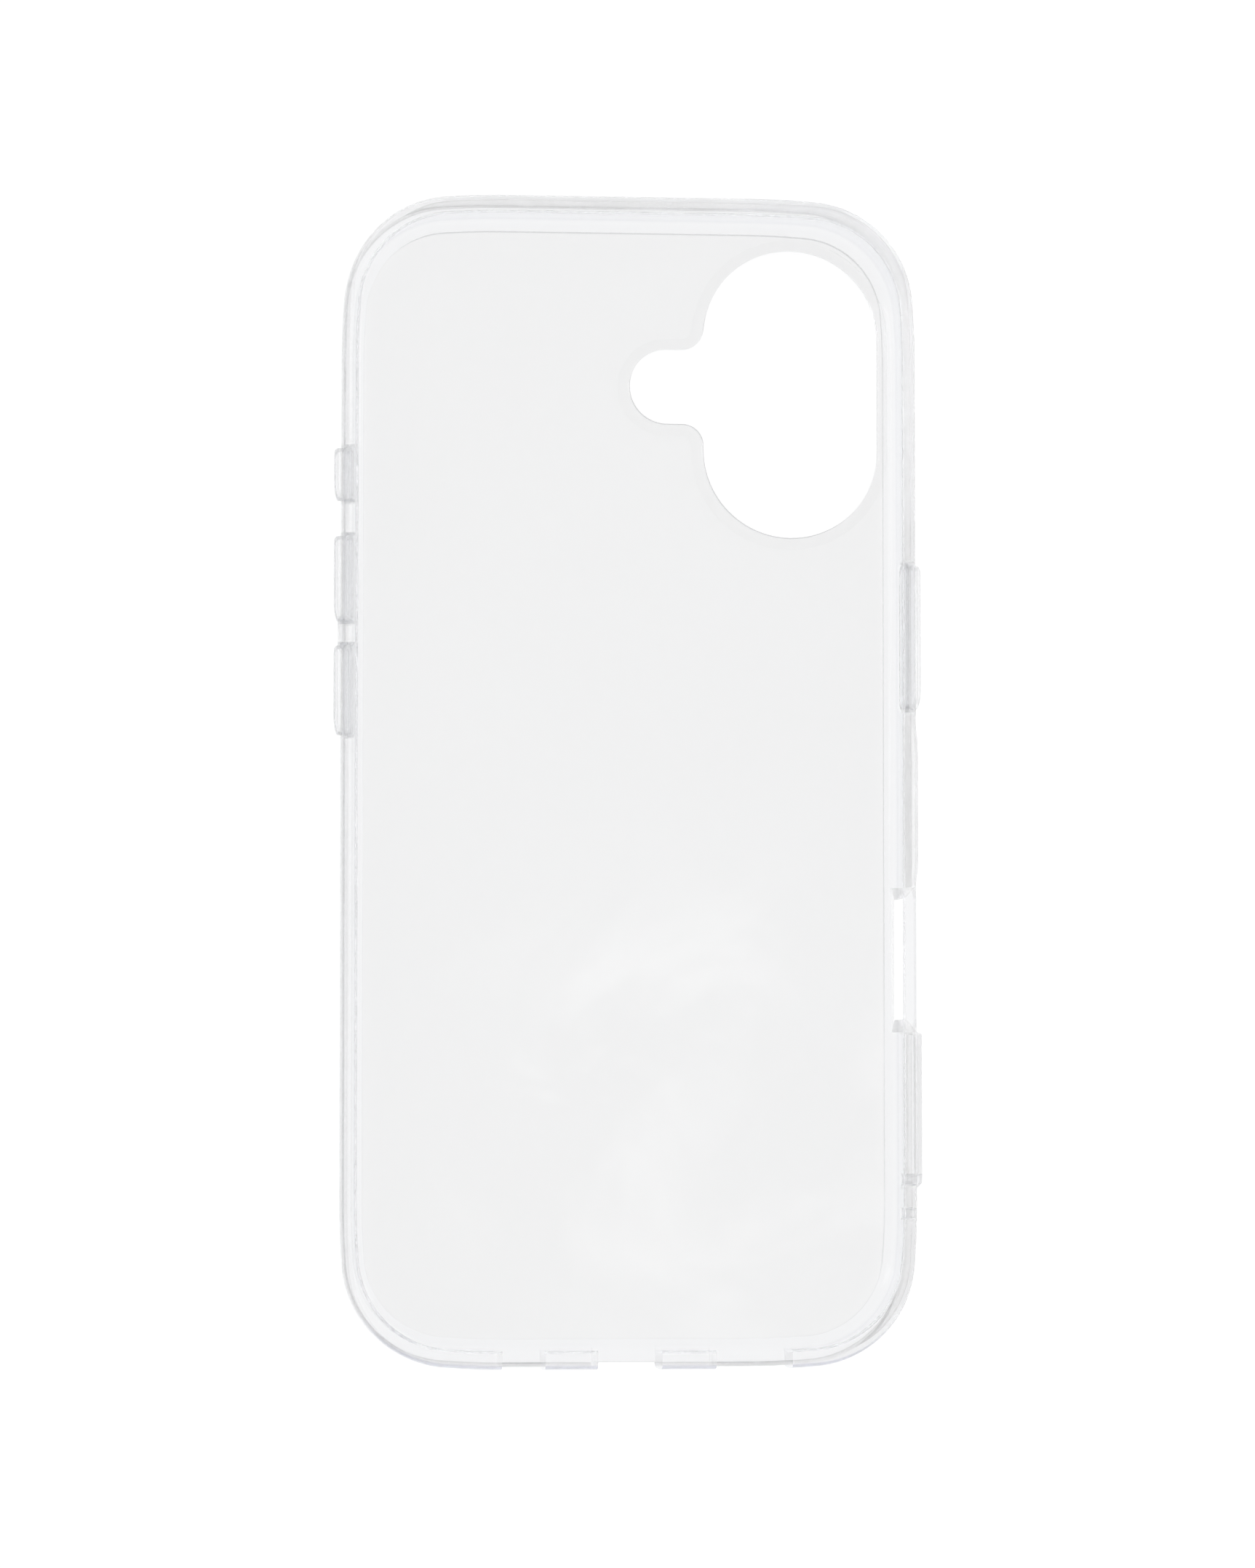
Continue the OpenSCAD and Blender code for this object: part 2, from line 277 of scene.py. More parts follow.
def strap_hole(y):
    """One of the two small round holes for a strap."""
    near = [i for i, row in enumerate(OUTER) if abs(row[2] - STRAP_Z) <= STRAP_R + 0.01]
    rows = [i for i in near if i >= FIRST_WINDOW_ROW]
    return Hole("R", y - STRAP_R, y + STRAP_R, rows[0], rows[-1], radius=STRAP_R)


def bottom_opening(x, half, sill, notch=0.0):
    """One of the bottom end's cut-outs, open upwards from its sill."""
    return Hole("B", x - half, x + half, SILL_ROW, ROWS - 1, sill=sill, notch=notch)


CONTROL = Hole("R", CONTROL_Y - CONTROL_HALF, CONTROL_Y + CONTROL_HALF,
               CONTROL_ROW, CONTROL_TOP_ROW, slope=CONTROL_SLOPE)
HOLES = [button_window(name) for name in BUTTONS] + [strap_hole(y) for y in STRAP_Y] + [
    CONTROL,
    bottom_opening(MIC_X, MIC_HALF, SILL_Z),
    bottom_opening(SPEAKER_X, SPEAKER_HALF, SILL_Z),
    bottom_opening(USB_X, USB_HALF, USB_SILL_Z, notch=USB_NOTCH),
]


def side_coordinates(side):
    """Every station's coordinate on one side. An open-topped cut-out's two ends are there twice."""
    reach = (STRAIGHT_L if side in "RL" else STRAIGHT_W) + LEAD_RUN
    stops, twice = [], []
    for hole in HOLES:
        if hole.side == side:
            stops += [hole.low, hole.high]
            if hole.radius:
                stops += window_stops(hole.middle, hole.half, hole.radius)
            if hole.slope:
                stops += [hole.low + 0.5, hole.high - 0.5]
            if hole.sill is not None:
                twice += [hole.low, hole.high]
    for pad_side, low, high, low_taper, high_taper, _, _ in PADS:
        if pad_side == side:
            stops += taper_stops(low, high, low_taper, high_taper)
    values = along(-reach, reach, STATION_STEP, stops)
    merged = [values[0]]
    for v in values[1:]:
        if v - merged[-1] > SAME_PLACE:
            merged.append(v)
    return sorted(merged + twice)


def whole_round(right, top, left, bottom, steps):
    """Stations round the wall from each side's coordinates, anticlockwise from the right side's lower end."""
    return ([side_station("R", s) for s in right] + corner_stations(1, 1, steps)
            + [side_station("T", s) for s in reversed(top)] + corner_stations(-1, 1, steps)[::-1]
            + [side_station("L", s) for s in reversed(left)] + corner_stations(-1, -1, steps)
            + [side_station("B", s) for s in bottom] + corner_stations(1, -1, steps)[::-1])


def all_stations():
    """Stations round the whole wall, with the ones that its openings and pads need."""
    return whole_round(*(side_coordinates(side) for side in "RTLB"), CORNER_STEPS)


def plain_stations():
    """Stations round the wall without the ones that openings and pads need."""
    reach_l, reach_w = STRAIGHT_L + LEAD_RUN, STRAIGHT_W + LEAD_RUN
    side = along(-reach_l, reach_l, PLAIN_STEP, [-STRAIGHT_L, STRAIGHT_L])
    end = along(-reach_w, reach_w, PLAIN_STEP, [-STRAIGHT_W, STRAIGHT_W])
    return whole_round(side, end, side, end, PLAIN_CORNER_STEPS)


def wall_point(station, row):
    """A point of the wall: the row's offset along the station's normal, from the outline it keeps to."""
    side, s, x, y, nx, ny = station
    kind, offset, z = row
    if kind == "seat":
        shift = END_WALL - SIDE_WALL
        if side in "RL":
            shift *= smooth((abs(s) - END_WALL_FROM) / (STRAIGHT_L + LEAD_RUN - END_WALL_FROM))
        x, y = x - nx * SIDE_WALL, y - ny * SIDE_WALL - math.copysign(shift, y)
    return Vector((x + nx * offset, y + ny * offset, z))


def on_round_corner(hole, rows, s, z):
    """A place in a rounded window, moved onto the corner's arc. None if it isn't in a corner."""
    z_low, z_high = rows[hole.row_low][2], rows[hole.row_high][2]
    z_mid, z_half = (z_low + z_high) / 2, (z_high - z_low) / 2
    u, v = s - hole.middle, z - z_mid
    cu, cv = hole.half - hole.radius, z_half - hole.radius
    if abs(u) <= cu or abs(v) <= cv:
        return None
    du, dv = abs(u) - cu, abs(v) - cv
    length = math.hypot(du, dv)
    return (hole.middle + math.copysign(cu + hole.radius * du / length, u),
            z_mid + math.copysign(cv + hole.radius * dv / length, v))


def wall_vertex(station, chain, rows, m, cut):
    """The point of row m at one station, as the opening there, if any, shapes it."""
    side, s = station[0], station[1]
    kind, offset, z = rows[m]
    at = station
    if cut is not None and cut.radius and cut.row_low <= m <= cut.row_high:
        place = on_round_corner(cut, rows, s, z)
        if place is not None:
            at, z = side_station(side, place[0]), place[1]
            offset = belly(z) if chain == "outer" else 0.0
    if cut is not None and cut.slope and chain == "inner" and CONTROL_ROW <= m <= cut.row_high:
        at = side_station(side, cut.middle + (s - cut.middle) * (1 - cut.slope / cut.half))
    if cut is not None and cut.sill is not None and m <= SILL_ROW:
        z = min(z, cut.sill)
        if chain == "outer" and cut.notch:
            offset = min(offset, -cut.notch)
    if chain == "outer" and kind == "outer" and m < ROWS - 1:
        offset += pad_proud(at[0], at[1], z)
    return wall_point(at, (kind, offset, z))


def hole_span(hole, stations):
    """The first and last station of an opening. An open-topped one leaves its ends' outer twins."""
    low, high = hole.low - SAME_PLACE, hole.high + SAME_PLACE
    inside = [k for k, (side, s, *_) in enumerate(stations) if side == hole.side and low <= s <= high]
    if hole.sill is not None:
        inside = inside[1:-1]
    return min(inside), max(inside)


def build_wall_mesh():
    """The bumper frame as one closed mesh: two paired surfaces, opened and bridged at every hole."""
    stations = all_stations()
    count = len(stations)
    spans = [hole_span(hole, stations) for hole in HOLES]
    bm = bmesh.new()
    outer, inner = [], []
    for k, station in enumerate(stations):
        cut = next((h for h, (a, b) in zip(HOLES, spans) if a <= k <= b and h.side == station[0]), None)
        for grid, chain, rows in ((outer, "outer", OUTER), (inner, "inner", INNER)):
            grid.append([bm.verts.new(wall_vertex(station, chain, rows, m, cut)) for m in range(ROWS)])

    def cut_away(k, m):
        """Whether the cell from station k and row m lies in an opening."""
        return any(a <= k < b and hole.row_low <= m < hole.row_high for hole, (a, b) in zip(HOLES, spans))

    def quad(*corners, slot=0):
        """A face, unless it is degenerate or already there."""
        distinct = list(dict.fromkeys(corners))
        if len(distinct) > 2 and bm.faces.get(distinct) is None:
            bm.faces.new(distinct).material_index = slot

    for k in range(count):
        n = (k + 1) % count
        for m in range(ROWS - 1):
            if not cut_away(k, m):
                quad(outer[k][m], outer[n][m], outer[n][m + 1], outer[k][m + 1])
                quad(inner[k][m], inner[k][m + 1], inner[n][m + 1], inner[n][m])
        # The strip that is moulded onto the panel's edge takes the bond's material
        quad(outer[k][0], inner[k][0], inner[n][0], outer[n][0], slot=1)
    for hole, (a, b) in zip(HOLES, spans):
        low, high = hole.row_low, hole.row_high
        for k in range(a, b):
            quad(outer[k][low], outer[k + 1][low], inner[k + 1][low], inner[k][low])
            if hole.sill is None:
                quad(outer[k][high], inner[k][high], inner[k + 1][high], outer[k + 1][high])
        for m in range(low, high):
            quad(outer[a][m], inner[a][m], inner[a][m + 1], outer[a][m + 1])
            quad(outer[b][m], outer[b][m + 1], inner[b][m + 1], inner[b][m])
    bmesh.ops.remove_doubles(bm, verts=bm.verts, dist=MERGE_WITHIN)
    bmesh.ops.dissolve_degenerate(bm, edges=bm.edges, dist=MERGE_WITHIN)
    bmesh.ops.recalc_face_normals(bm, faces=bm.faces)
    return bm


# ---- Objects

def add_object(name, data):
    """A new object in the scene's own collection."""
    obj = bpy.data.objects.new(name, data)
    bpy.context.scene.collection.objects.link(obj)
    return obj


def finish_mesh(name, bm, sharp=35, flat=lambda face: False):
    """A millimetre bmesh as an object in metres, smooth except at sharp edges and on its flat faces."""
    for v in bm.verts:
        v.co = v.co * MM
    flat_faces = [flat(face) for face in bm.faces]
    mesh = bpy.data.meshes.new(name)
    bm.to_mesh(mesh)
    bm.free()
    # Marking the sharp edges makes every face smooth, so the flat ones are set after it
    mesh.set_sharp_from_angle(angle=math.radians(sharp))
    mesh.polygons.foreach_set("use_smooth", [not is_flat for is_flat in flat_faces])
    return add_object(name, mesh)


def build_bumper():
    """The soft bumper frame."""
    return finish_mesh("bumper", build_wall_mesh())


def outline_points(inset):
    """The seat's outline moved in by inset, as (x, y) points in order."""
    points = [wall_point(station, ("seat", -inset, 0.0)) for station in plain_stations()]
    return [(p.x, p.y) for p in points]


def arc(cx, cy, r, a0, a1, n):
    """Points of an arc, its last one left out."""
    turns = [math.radians(a0 + (a1 - a0) * i / n) for i in range(n)]
    return [(cx + r * math.cos(t), cy + r * math.sin(t)) for t in turns]


def camera_outline(grow):
    """The camera opening's outline, grown: a pill with a flash lobe and coves between them, anticlockwise."""
    r, lobe, cove = CAMERA_R + grow, FLASH_R + grow, CAMERA_COVE - grow
    cove_x = -r - cove
    up, down = FLASH_DY + lobe + cove, FLASH_DY - lobe - cove
    # The upper cove meets the pill's round end a little past its straight side
    meet = 180 - math.degrees(math.asin((up - CAMERA_HALF) / r))
    points = arc(0, -CAMERA_HALF, r, -180, 0, 48) + arc(0, CAMERA_HALF, r, 0, meet, 48)
    points += arc(cove_x, up, cove, -8, -90, 14) + arc(FLASH_DX, FLASH_DY, lobe, 90, 270, 36)
    points += arc(cove_x, down, cove, 90, 0, 14)
    return [(CAMERA_X + x, CAMERA_Y + y) for x, y in points]


# A face is steep or level by its normal's height
STEEP_BELOW, LEVEL_ABOVE = 0.3, 0.999


def flat_piece(name, loops, z_low, z_high, bevel, segments=3, edge_slot=0):
    """A flat piece with rounded edges: closed outlines, holes among them, filled between two heights.

    Its steep side faces take the material in edge_slot.
    """
    curve = bpy.data.curves.new(name, "CURVE")
    curve.dimensions = "2D"
    curve.fill_mode = "BOTH"
    curve.extrude = (z_high - z_low) / 2 - bevel
    curve.bevel_depth = bevel
    curve.bevel_resolution = segments
    curve.offset = -bevel
    for points in loops:
        spline = curve.splines.new("POLY")
        spline.points.add(len(points) - 1)
        for p, (x, y) in zip(spline.points, points):
            p.co = (x, y, 0, 1)
        spline.use_cyclic_u = True
    temp = add_object(name + "_curve", curve)
    depsgraph = bpy.context.evaluated_depsgraph_get()
    mesh = bpy.data.meshes.new_from_object(temp.evaluated_get(depsgraph))
    bpy.data.objects.remove(temp)
    bm = bmesh.new()
    bm.from_mesh(mesh)
    for v in bm.verts:
        v.co.z += (z_low + z_high) / 2
    bmesh.ops.remove_doubles(bm, verts=bm.verts, dist=1e-4)
    bmesh.ops.recalc_face_normals(bm, faces=bm.faces)
    for face in bm.faces:
        face.material_index = edge_slot if abs(face.normal.z) < STEEP_BELOW else 0
    return finish_mesh(name, bm, sharp=50, flat=lambda face: abs(face.normal.z) > LEVEL_ABOVE)


def build_panel():
    """The hard back panel, with its camera opening."""
    loops = [outline_points(COVE_R + SEAM), camera_outline(0.0)]
    return flat_piece("panel", loops, BACK_Z, FLOOR_Z, PANEL_BEVEL, segments=4, edge_slot=1)


def build_guard():
    """The raised collar round the camera opening."""
    loops = [camera_outline(GUARD_WIDTH), camera_outline(GUARD_GAP)]
    return flat_piece("guard_collar", loops, GUARD_LO.z, GUARD_HI.z - SEAM, GUARD_BEVEL)


def rounded_loop(half_y, half_z, radius, steps=8):
    """A rounded rectangle across the wall, as (y, z) points."""
    r = max(0.02, min(radius, half_y, half_z))
    corners = ((1, 1, 0), (-1, 1, 90), (-1, -1, 180), (1, -1, 270))
    points = []
    for sy, sz, start in corners:
        for i in range(steps + 1):
            a = math.radians(start + 90 * i / steps)
            points.append((sy * (half_y - r) + r * math.cos(a), sz * (half_z - r) + r * math.sin(a)))
    return points


def loft(name, levels, ring=False):
    """A solid through loops of points. It is capped at both ends, or closed on itself as a ring."""
    bm = bmesh.new()
    loops = [[bm.verts.new(p) for p in level] for level in levels]
    pairs = list(zip(loops, loops[1:])) + ([(loops[-1], loops[0])] if ring else [])
    for a, b in pairs:
        for i in range(len(a)):
            j = (i + 1) % len(a)
            bm.faces.new((a[i], a[j], b[j], b[i]))
    if not ring:
        bm.faces.new(loops[0])
        bm.faces.new(loops[-1])
    bmesh.ops.recalc_face_normals(bm, faces=bm.faces)
    return finish_mesh(name, bm, sharp=40, flat=lambda face: len(face.verts) > 4)


# A button cover: its foot's bevel, its bar's sections from the foot, its rounded edge, how much less that
# edge takes off along Y than along Z, its flat top's extra inset, and how far its lower end tapers
FOOT_BEVEL = 0.12
BAR_SECTIONS = (0.35, 0.9, 1.4)
COVER_EDGE, EDGE_STEPS = 0.62, 8
EASE_Y = 0.8
TOP_INSET = 0.35
COVER_TAPER = 1.5


def build_button(name):
    """One button cover: a bar through its window with a softly domed pad."""
    low, high = box_mm(name + "_button")
    sign = 1 if low.x > 0 else -1
    x_in, x_out = (low.x, high.x) if sign > 0 else (high.x, low.x)
    y_mid, half_y, half_z = (low.y + high.y) / 2, (high.y - low.y) / 2, (high.z - low.z) / 2
    levels = []

    def level(x, shrink_y, shrink_z, taper=0.0):
        """Adds a section at x, made smaller each way. Only its lower end tapers."""
        radius = BUTTON_R - min(shrink_y, shrink_z) * 0.6
        loop = rounded_loop(half_y - shrink_y, half_z - shrink_z, radius)
        drawn = [(y + taper * min(0.0, y) / -half_y, z) for y, z in loop]
        levels.append([Vector((x, y_mid + y, MID_Z + z)) for y, z in drawn])

    for t in (0.0, 0.5, 1.0):
        level(x_in + sign * FOOT_BEVEL * t, FOOT_BEVEL * (1 - t), FOOT_BEVEL * (1 - t))
    for x in BAR_SECTIONS:
        level(x_in + sign * x, 0.0, 0.0)
    for i in range(1, EDGE_STEPS + 1):
        a = math.radians(90 * i / EDGE_STEPS)
        inset = COVER_EDGE * (1 - math.cos(a))
        x = x_out - sign * COVER_EDGE * (1 - math.sin(a))
        level(x, EASE_Y * inset, inset, COVER_TAPER * (1 - math.cos(a)))
    level(x_out, EASE_Y * COVER_EDGE + TOP_INSET, COVER_EDGE + TOP_INSET, COVER_TAPER)
    return loft(name + "_cover", levels)


# A skin's section: how far across from its window to its cover, and how far out in half thicknesses
GROOVE = ((0, 1), (0.25, 0.82), (0.5, 0.76), (0.75, 0.82), (1, 1), (1, -1), (0.5, -1), (0, -1))


def build_web(name):
    """The thin skin round one button cover: a shallow groove between the cover and its window."""
    low, high = box_mm(name + "_web")
    cover_low, cover_high = box_mm(name + "_button")
    sign = 1 if low.x > 0 else -1
    x_mid, y_mid = (low.x + high.x) / 2, (low.y + high.y) / 2
    half = (high.x - low.x) / 2
    outer = (high.y - low.y) / 2 - SEAM, (high.z - low.z) / 2 - SEAM
    inner = (cover_high.y - cover_low.y) / 2 + SEAM, (cover_high.z - cover_low.z) / 2 + SEAM
    levels = []
    for across, out in GROOVE:
        half_y, half_z = (outer[i] + (inner[i] - outer[i]) * across for i in (0, 1))
        x = x_mid + sign * half * out
        loop = rounded_loop(half_y, half_z, BUTTON_R)
        levels.append([Vector((x, y_mid + y, MID_Z + z)) for y, z in loop])
    return loft(name + "_skin", levels, ring=True)


# ---- Materials

# A colour Mix node's sockets share their names between types, so they go by number
MIX_FACTOR, MIX_A, MIX_B, MIX_RESULT = 0, 6, 7, 2
UP = (0.0, 0.0, 1.0)


def add_noise(mat, scale, detail, distortion=0.0):
    """A noise that is fixed to the object. Returns its output."""
    nodes, links = mat.node_tree.nodes, mat.node_tree.links
    place = nodes.new("ShaderNodeTexCoord")
    noise = nodes.new("ShaderNodeTexNoise")
    noise.inputs["Scale"].default_value = scale
    noise.inputs["Detail"].default_value = detail
    noise.inputs["Distortion"].default_value = distortion
    links.new(place.outputs["Object"], noise.inputs["Vector"])
    return noise.outputs["Fac"]


def add_bump(mat, height, distance, normal=None):
    """A bump of this distance in metres, on top of another normal if there is one. Returns its output."""
    nodes, links = mat.node_tree.nodes, mat.node_tree.links
    bump = nodes.new("ShaderNodeBump")
    bump.inputs["Strength"].default_value = 1.0
    bump.inputs["Distance"].default_value = distance
    links.new(height, bump.inputs["Height"])
    if normal is not None:
        links.new(normal, bump.inputs["Normal"])
    return bump.outputs["Normal"]


def smooth_range(tree, value, start, end):
    """Smoothly 0 at start to 1 at end, or falling where start is above end. Returns its output."""
    node = tree.nodes.new("ShaderNodeMapRange")
    node.interpolation_type = "SMOOTHSTEP"
    node.inputs["From Min"].default_value = min(start, end)
    node.inputs["From Max"].default_value = max(start, end)
    node.inputs["To Min"].default_value = 0.0 if start < end else 1.0
    node.inputs["To Max"].default_value = 1.0 if start < end else 0.0
    tree.links.new(value, node.inputs["Value"])
    return node.outputs["Result"]


def product(tree, a, b):
    """Two values multiplied. Returns the output."""
    node = tree.nodes.new("ShaderNodeMath")
    node.operation = "MULTIPLY"
    tree.links.new(a, node.inputs[0])
    tree.links.new(b, node.inputs[1])
    return node.outputs["Value"]


def blend_base(mat, factor, colour):
    """Blends a colour into what the shader's base colour is already, by a factor."""
    nodes, links = mat.node_tree.nodes, mat.node_tree.links
    base = nodes["Principled BSDF"].inputs["Base Color"]
    old = base.links[0].from_socket
    mix = nodes.new("ShaderNodeMix")
    mix.data_type = "RGBA"
    mix.inputs[MIX_B].default_value = (*colour, 1)
    links.new(factor, mix.inputs[MIX_FACTOR])
    links.new(old, mix.inputs[MIX_A])
    links.new(mix.outputs[MIX_RESULT], base)


def clear_material(name, tint, ior, roughness, grain, wave, body=1.0):
    """Clear moulded plastic: a fine grain in its gloss and a slow wave in its surface.

    Body is how much of it bends light. The rest lets light straight through.
    """
    mat = bpy.data.materials.new(name)
    mat.use_nodes = True
    nodes, links = mat.node_tree.nodes, mat.node_tree.links
    shader = nodes["Principled BSDF"]
    shader.inputs["Transmission Weight"].default_value = 1.0
    shader.inputs["IOR"].default_value = ior
    shader.inputs["Alpha"].default_value = body
    slow = add_noise(mat, 38.0, 2.0)
    fine = add_noise(mat, 2200.0, 3.0)
    colour = nodes.new("ShaderNodeMix")
    colour.data_type = "RGBA"
    colour.inputs[MIX_A].default_value = (*[c * 0.992 for c in tint], 1)
    colour.inputs[MIX_B].default_value = (*[min(1.0, c * 1.006) for c in tint], 1)
    links.new(slow, colour.inputs[MIX_FACTOR])
    links.new(colour.outputs[MIX_RESULT], shader.inputs["Base Color"])
    gloss = nodes.new("ShaderNodeMapRange")
    gloss.inputs["To Min"].default_value = roughness * 0.5
    gloss.inputs["To Max"].default_value = roughness * 1.5
    links.new(fine, gloss.inputs["Value"])
    links.new(gloss.outputs["Result"], shader.inputs["Roughness"])
    ripple = add_bump(mat, slow, wave)
    links.new(add_bump(mat, fine, grain, ripple), shader.inputs["Normal"])
    return mat


def hazy_material(name, tint):
    """A hazy face: the moulded bond round the panel, or its cut edge. It scatters light, so it looks pale."""
    mat = clear_material(name, tint, 1.4, 0.6, 1.0e-7, 1.0e-5)
    mat.node_tree.nodes["Principled BSDF"].inputs["Transmission Weight"].default_value = 0.0
    return mat


def add_painted_shade(mat, tint, axis, start, end, below=None):
    """Painted shade on faces by how far they look along an axis: a darker colour that stands for the wall
    seen through its own length there.

    Along UP, a face that looks down counts like one that looks up. With below, the tint is kept to
    the end of the case under that place along Y.
    """
    tree = mat.node_tree
    surface = tree.nodes.new("ShaderNodeNewGeometry")
    facing = tree.nodes.new("ShaderNodeVectorMath")
    facing.operation = "DOT_PRODUCT"
    facing.inputs[1].default_value = axis
    tree.links.new(surface.outputs["True Normal"], facing.inputs[0])
    amount = facing.outputs["Value"]
    if axis == UP:
        either = tree.nodes.new("ShaderNodeMath")
        either.operation = "ABSOLUTE"
        tree.links.new(amount, either.inputs[0])
        amount = either.outputs["Value"]
    factor = smooth_range(tree, amount, start, end)
    if below is not None:
        place = tree.nodes.new("ShaderNodeTexCoord")
        split = tree.nodes.new("ShaderNodeSeparateXYZ")
        tree.links.new(place.outputs["Object"], split.inputs[0])
        low_end = smooth_range(tree, split.outputs["Y"], below, below - 0.006)
        factor = product(tree, factor, low_end)
    blend_base(mat, factor, tint)


def add_bright_swirls(mat, centre, reach):
    """Faint, soft, brighter swirls in the panel's colour, round one place of it."""
    tree = mat.node_tree
    cloud = smooth_range(tree, add_noise(mat, 42.0, 2.5, distortion=1.1), 0.38, 0.78)
    place = tree.nodes.new("ShaderNodeTexCoord")
    offset = tree.nodes.new("ShaderNodeVectorMath")
    offset.operation = "DISTANCE"
    offset.inputs[1].default_value = centre
    tree.links.new(place.outputs["Object"], offset.inputs[0])
    near = smooth_range(tree, offset.outputs["Value"], reach, 0.3 * reach)
    blend_base(mat, product(tree, cloud, near), (0.94, 0.94, 0.94))


PANEL_MAT = clear_material("clear_panel", (0.890, 0.891, 0.892), 1.36, 0.015, 1.0e-7, 2.0e-5)
BUMPER_MAT = clear_material("clear_bumper", (0.80, 0.805, 0.815), 1.42, 0.02, 0.5e-7, 0.6e-5, body=0.50)
GUARD_MAT = clear_material("clear_guard", (0.995, 0.995, 0.995), 1.06, 0.03, 1.0e-7, 1.5e-5)
BUTTON_MAT = clear_material("clear_button", (0.87, 0.875, 0.885), 1.38, 0.02, 0.5e-7, 0.6e-5, body=0.42)
WEB_MAT = clear_material("clear_web", (0.96, 0.962, 0.968), 1.10, 0.03, 0.5e-7, 0.6e-5)
BOND_MAT = hazy_material("bond", (0.93, 0.93, 0.935))
EDGE_MAT = hazy_material("panel_edge", (0.86, 0.86, 0.87))
# Painted shade: the bumper's and the buttons' steep faces are darkened, for the darker look of clear walls
# seen through their length.
add_painted_shade(BUMPER_MAT, (0.62, 0.635, 0.675), UP, 0.75, 0.15)
add_painted_shade(BUTTON_MAT, (0.60, 0.615, 0.655), UP, 0.75, 0.15)
# Painted shade: a dark blue painted on the outward faces of the bumper's bottom end, for the darkness that
# refraction gives there.
add_painted_shade(BUMPER_MAT, (0.20, 0.22, 0.38), (0.0, -1.0, 0.0), 0.40, 0.85, below=-0.064)
# Painted shade: the panel's rounded edges that face towards the upper right are darkened.
add_painted_shade(PANEL_MAT, (0.50, 0.50, 0.51), (0.55, 0.80, 0.0), 0.1, 0.5)
add_bright_swirls(PANEL_MAT, (0.010, -0.042, 0.002), 0.042)


def place_piece(obj, material, body, node, second=None):
    """Gives a piece its material or two and its body, and hides the CAD node that it stands for."""
    obj.data.materials.clear()
    obj.data.materials.append(material)
    if second is not None:
        obj.data.materials.append(second)
    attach(obj, body)
    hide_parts(node)


place_piece(build_panel(), PANEL_MAT, "case", "back_panel", second=EDGE_MAT)
place_piece(build_bumper(), BUMPER_MAT, "case", "bumper_frame", second=BOND_MAT)
place_piece(build_guard(), GUARD_MAT, "case", "camera_guard")
for button in BUTTONS:
    place_piece(build_button(button), BUTTON_MAT, button, button + "_button")
    place_piece(build_web(button), WEB_MAT, "case", button + "_web")


# ---- Floor, light and camera

FLOOR_HALF = 3.0
FLOOR_DROP = 0.00005
# The surroundings' colour by height above the horizon, from level to straight up
SKY = ((0.0, (0.98, 0.98, 0.98)), (0.10, (0.86, 0.86, 0.88)), (0.30, (0.62, 0.63, 0.66)),
       (0.55, (0.58, 0.59, 0.61)), (0.80, (0.72, 0.72, 0.72)), (1.0, (0.80, 0.80, 0.80)))
DIM_TOWARDS, DIM_COLOUR = (-0.45, -0.89, 0.0), (0.50, 0.52, 0.60)


def build_floor():
    """A plain white light table under the case."""
    bm = bmesh.new()
    bmesh.ops.create_grid(bm, x_segments=1, y_segments=1, size=FLOOR_HALF)
    mesh = bpy.data.meshes.new("floor")
    bm.to_mesh(mesh)
    bm.free()
    floor = add_object("floor", mesh)
    floor.location.z = -FLOOR_DROP
    mat = bpy.data.materials.new("light_table")
    mat.use_nodes = True
    shader = mat.node_tree.nodes["Principled BSDF"]
    shader.inputs["Base Color"].default_value = (0.2, 0.2, 0.2, 1)
    shader.inputs["Roughness"].default_value = 0.9
    shader.inputs["Specular IOR Level"].default_value = 0.0
    shader.inputs["Emission Color"].default_value = (1, 1, 1, 1)
    shader.inputs["Emission Strength"].default_value = 0.90
    floor.data.materials.append(mat)


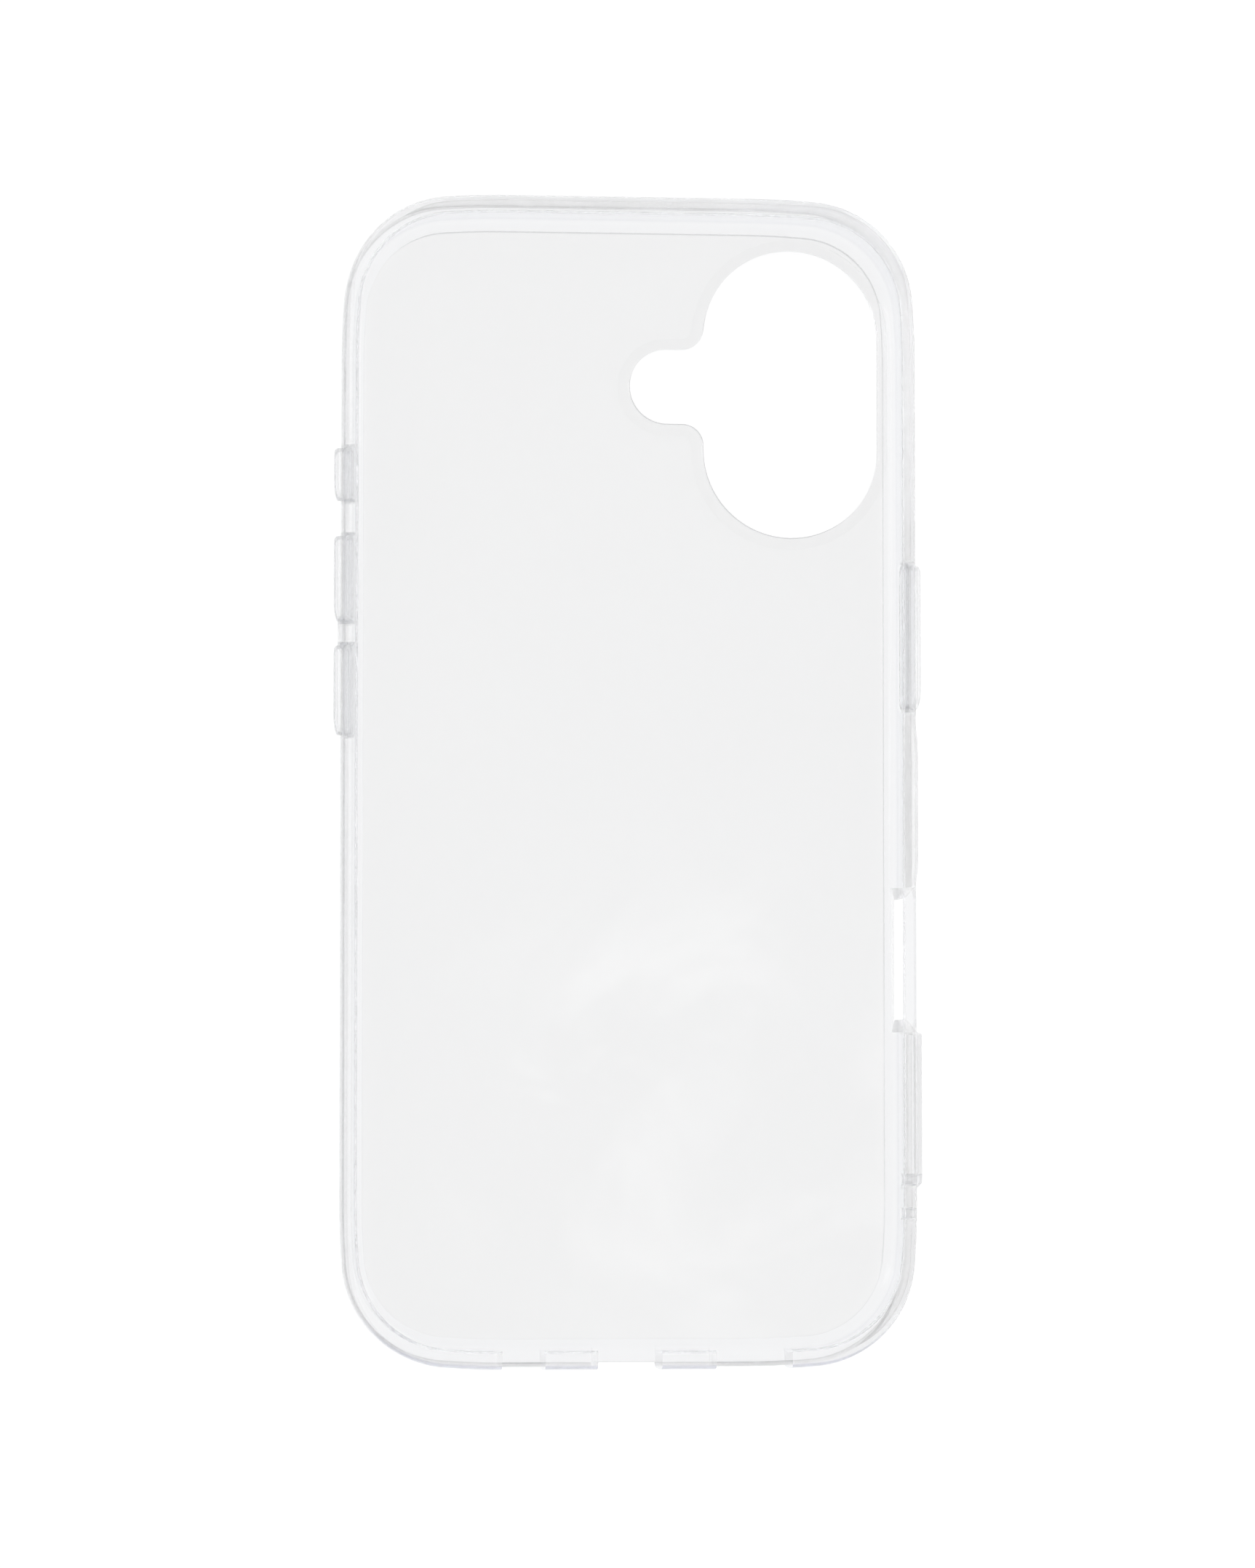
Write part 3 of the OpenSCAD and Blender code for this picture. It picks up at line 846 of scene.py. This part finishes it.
def build_world():
    """Soft studio surroundings: a pale horizon, dimmer sides, a brighter overhead and one dim side."""
    world = bpy.data.worlds.new("studio")
    bpy.context.scene.world = world
    world.use_nodes = True
    tree = world.node_tree
    background = tree.nodes["Background"]
    place = tree.nodes.new("ShaderNodeTexCoord")
    split = tree.nodes.new("ShaderNodeSeparateXYZ")
    tree.links.new(place.outputs["Generated"], split.inputs[0])
    ramp = tree.nodes.new("ShaderNodeValToRGB")
    first, last = ramp.color_ramp.elements[0], ramp.color_ramp.elements[1]
    first.position, first.color = SKY[0][0], (*SKY[0][1], 1)
    last.position, last.color = SKY[-1][0], (*SKY[-1][1], 1)
    for height, colour in SKY[1:-1]:
        ramp.color_ramp.elements.new(height).color = (*colour, 1)
    tree.links.new(split.outputs["Z"], ramp.inputs["Fac"])
    towards = tree.nodes.new("ShaderNodeVectorMath")
    towards.operation = "DOT_PRODUCT"
    towards.inputs[1].default_value = DIM_TOWARDS
    tree.links.new(place.outputs["Generated"], towards.inputs[0])
    mix = tree.nodes.new("ShaderNodeMix")
    mix.data_type = "RGBA"
    mix.inputs[MIX_B].default_value = (*DIM_COLOUR, 1)
    tree.links.new(smooth_range(tree, towards.outputs["Value"], 0.35, 0.85), mix.inputs[MIX_FACTOR])
    tree.links.new(ramp.outputs["Color"], mix.inputs[MIX_A])
    tree.links.new(mix.outputs[MIX_RESULT], background.inputs["Color"])
    background.inputs["Strength"].default_value = 1.0


def add_area_light(name, place, size, power):
    """A soft rectangular studio light, aimed at the case."""
    light = bpy.data.lights.new(name, "AREA")
    light.shape = "RECTANGLE"
    light.size, light.size_y = size
    light.energy = power
    obj = add_object(name, light)
    obj.location = place
    obj.rotation_euler = (-Vector(place)).to_track_quat("-Z", "Y").to_euler()


def build_camera():
    """The photograph's view: overhead, leaning a little to the left and to the bottom end."""
    distance, yaw, pitch = 0.8, math.radians(6.0), math.radians(3.3)
    target = Vector((0.0, -0.0003, 0.0055))
    away = Vector((-math.sin(yaw) * math.cos(pitch), -math.sin(pitch), math.cos(yaw) * math.cos(pitch)))
    data = bpy.data.cameras.new("camera")
    data.sensor_fit = "HORIZONTAL"
    data.sensor_width = 36.0
    data.lens = 176.8
    camera = add_object("camera", data)
    right = Vector((0, 1, 0)).cross(away).normalized()
    turn = Matrix((right, away.cross(right), away)).transposed()
    camera.matrix_world = Matrix.Translation(target + away * distance) @ turn.to_4x4()
    bpy.context.scene.camera = camera


build_floor()
build_world()
add_area_light("left_softbox", (-0.9, 0.2, 0.7), (0.25, 1.0), 1.5)
add_area_light("right_softbox", (0.9, 0.3, 0.6), (0.2, 0.9), 1.2)
build_camera()
bpy.context.scene.view_settings.view_transform = "Standard"
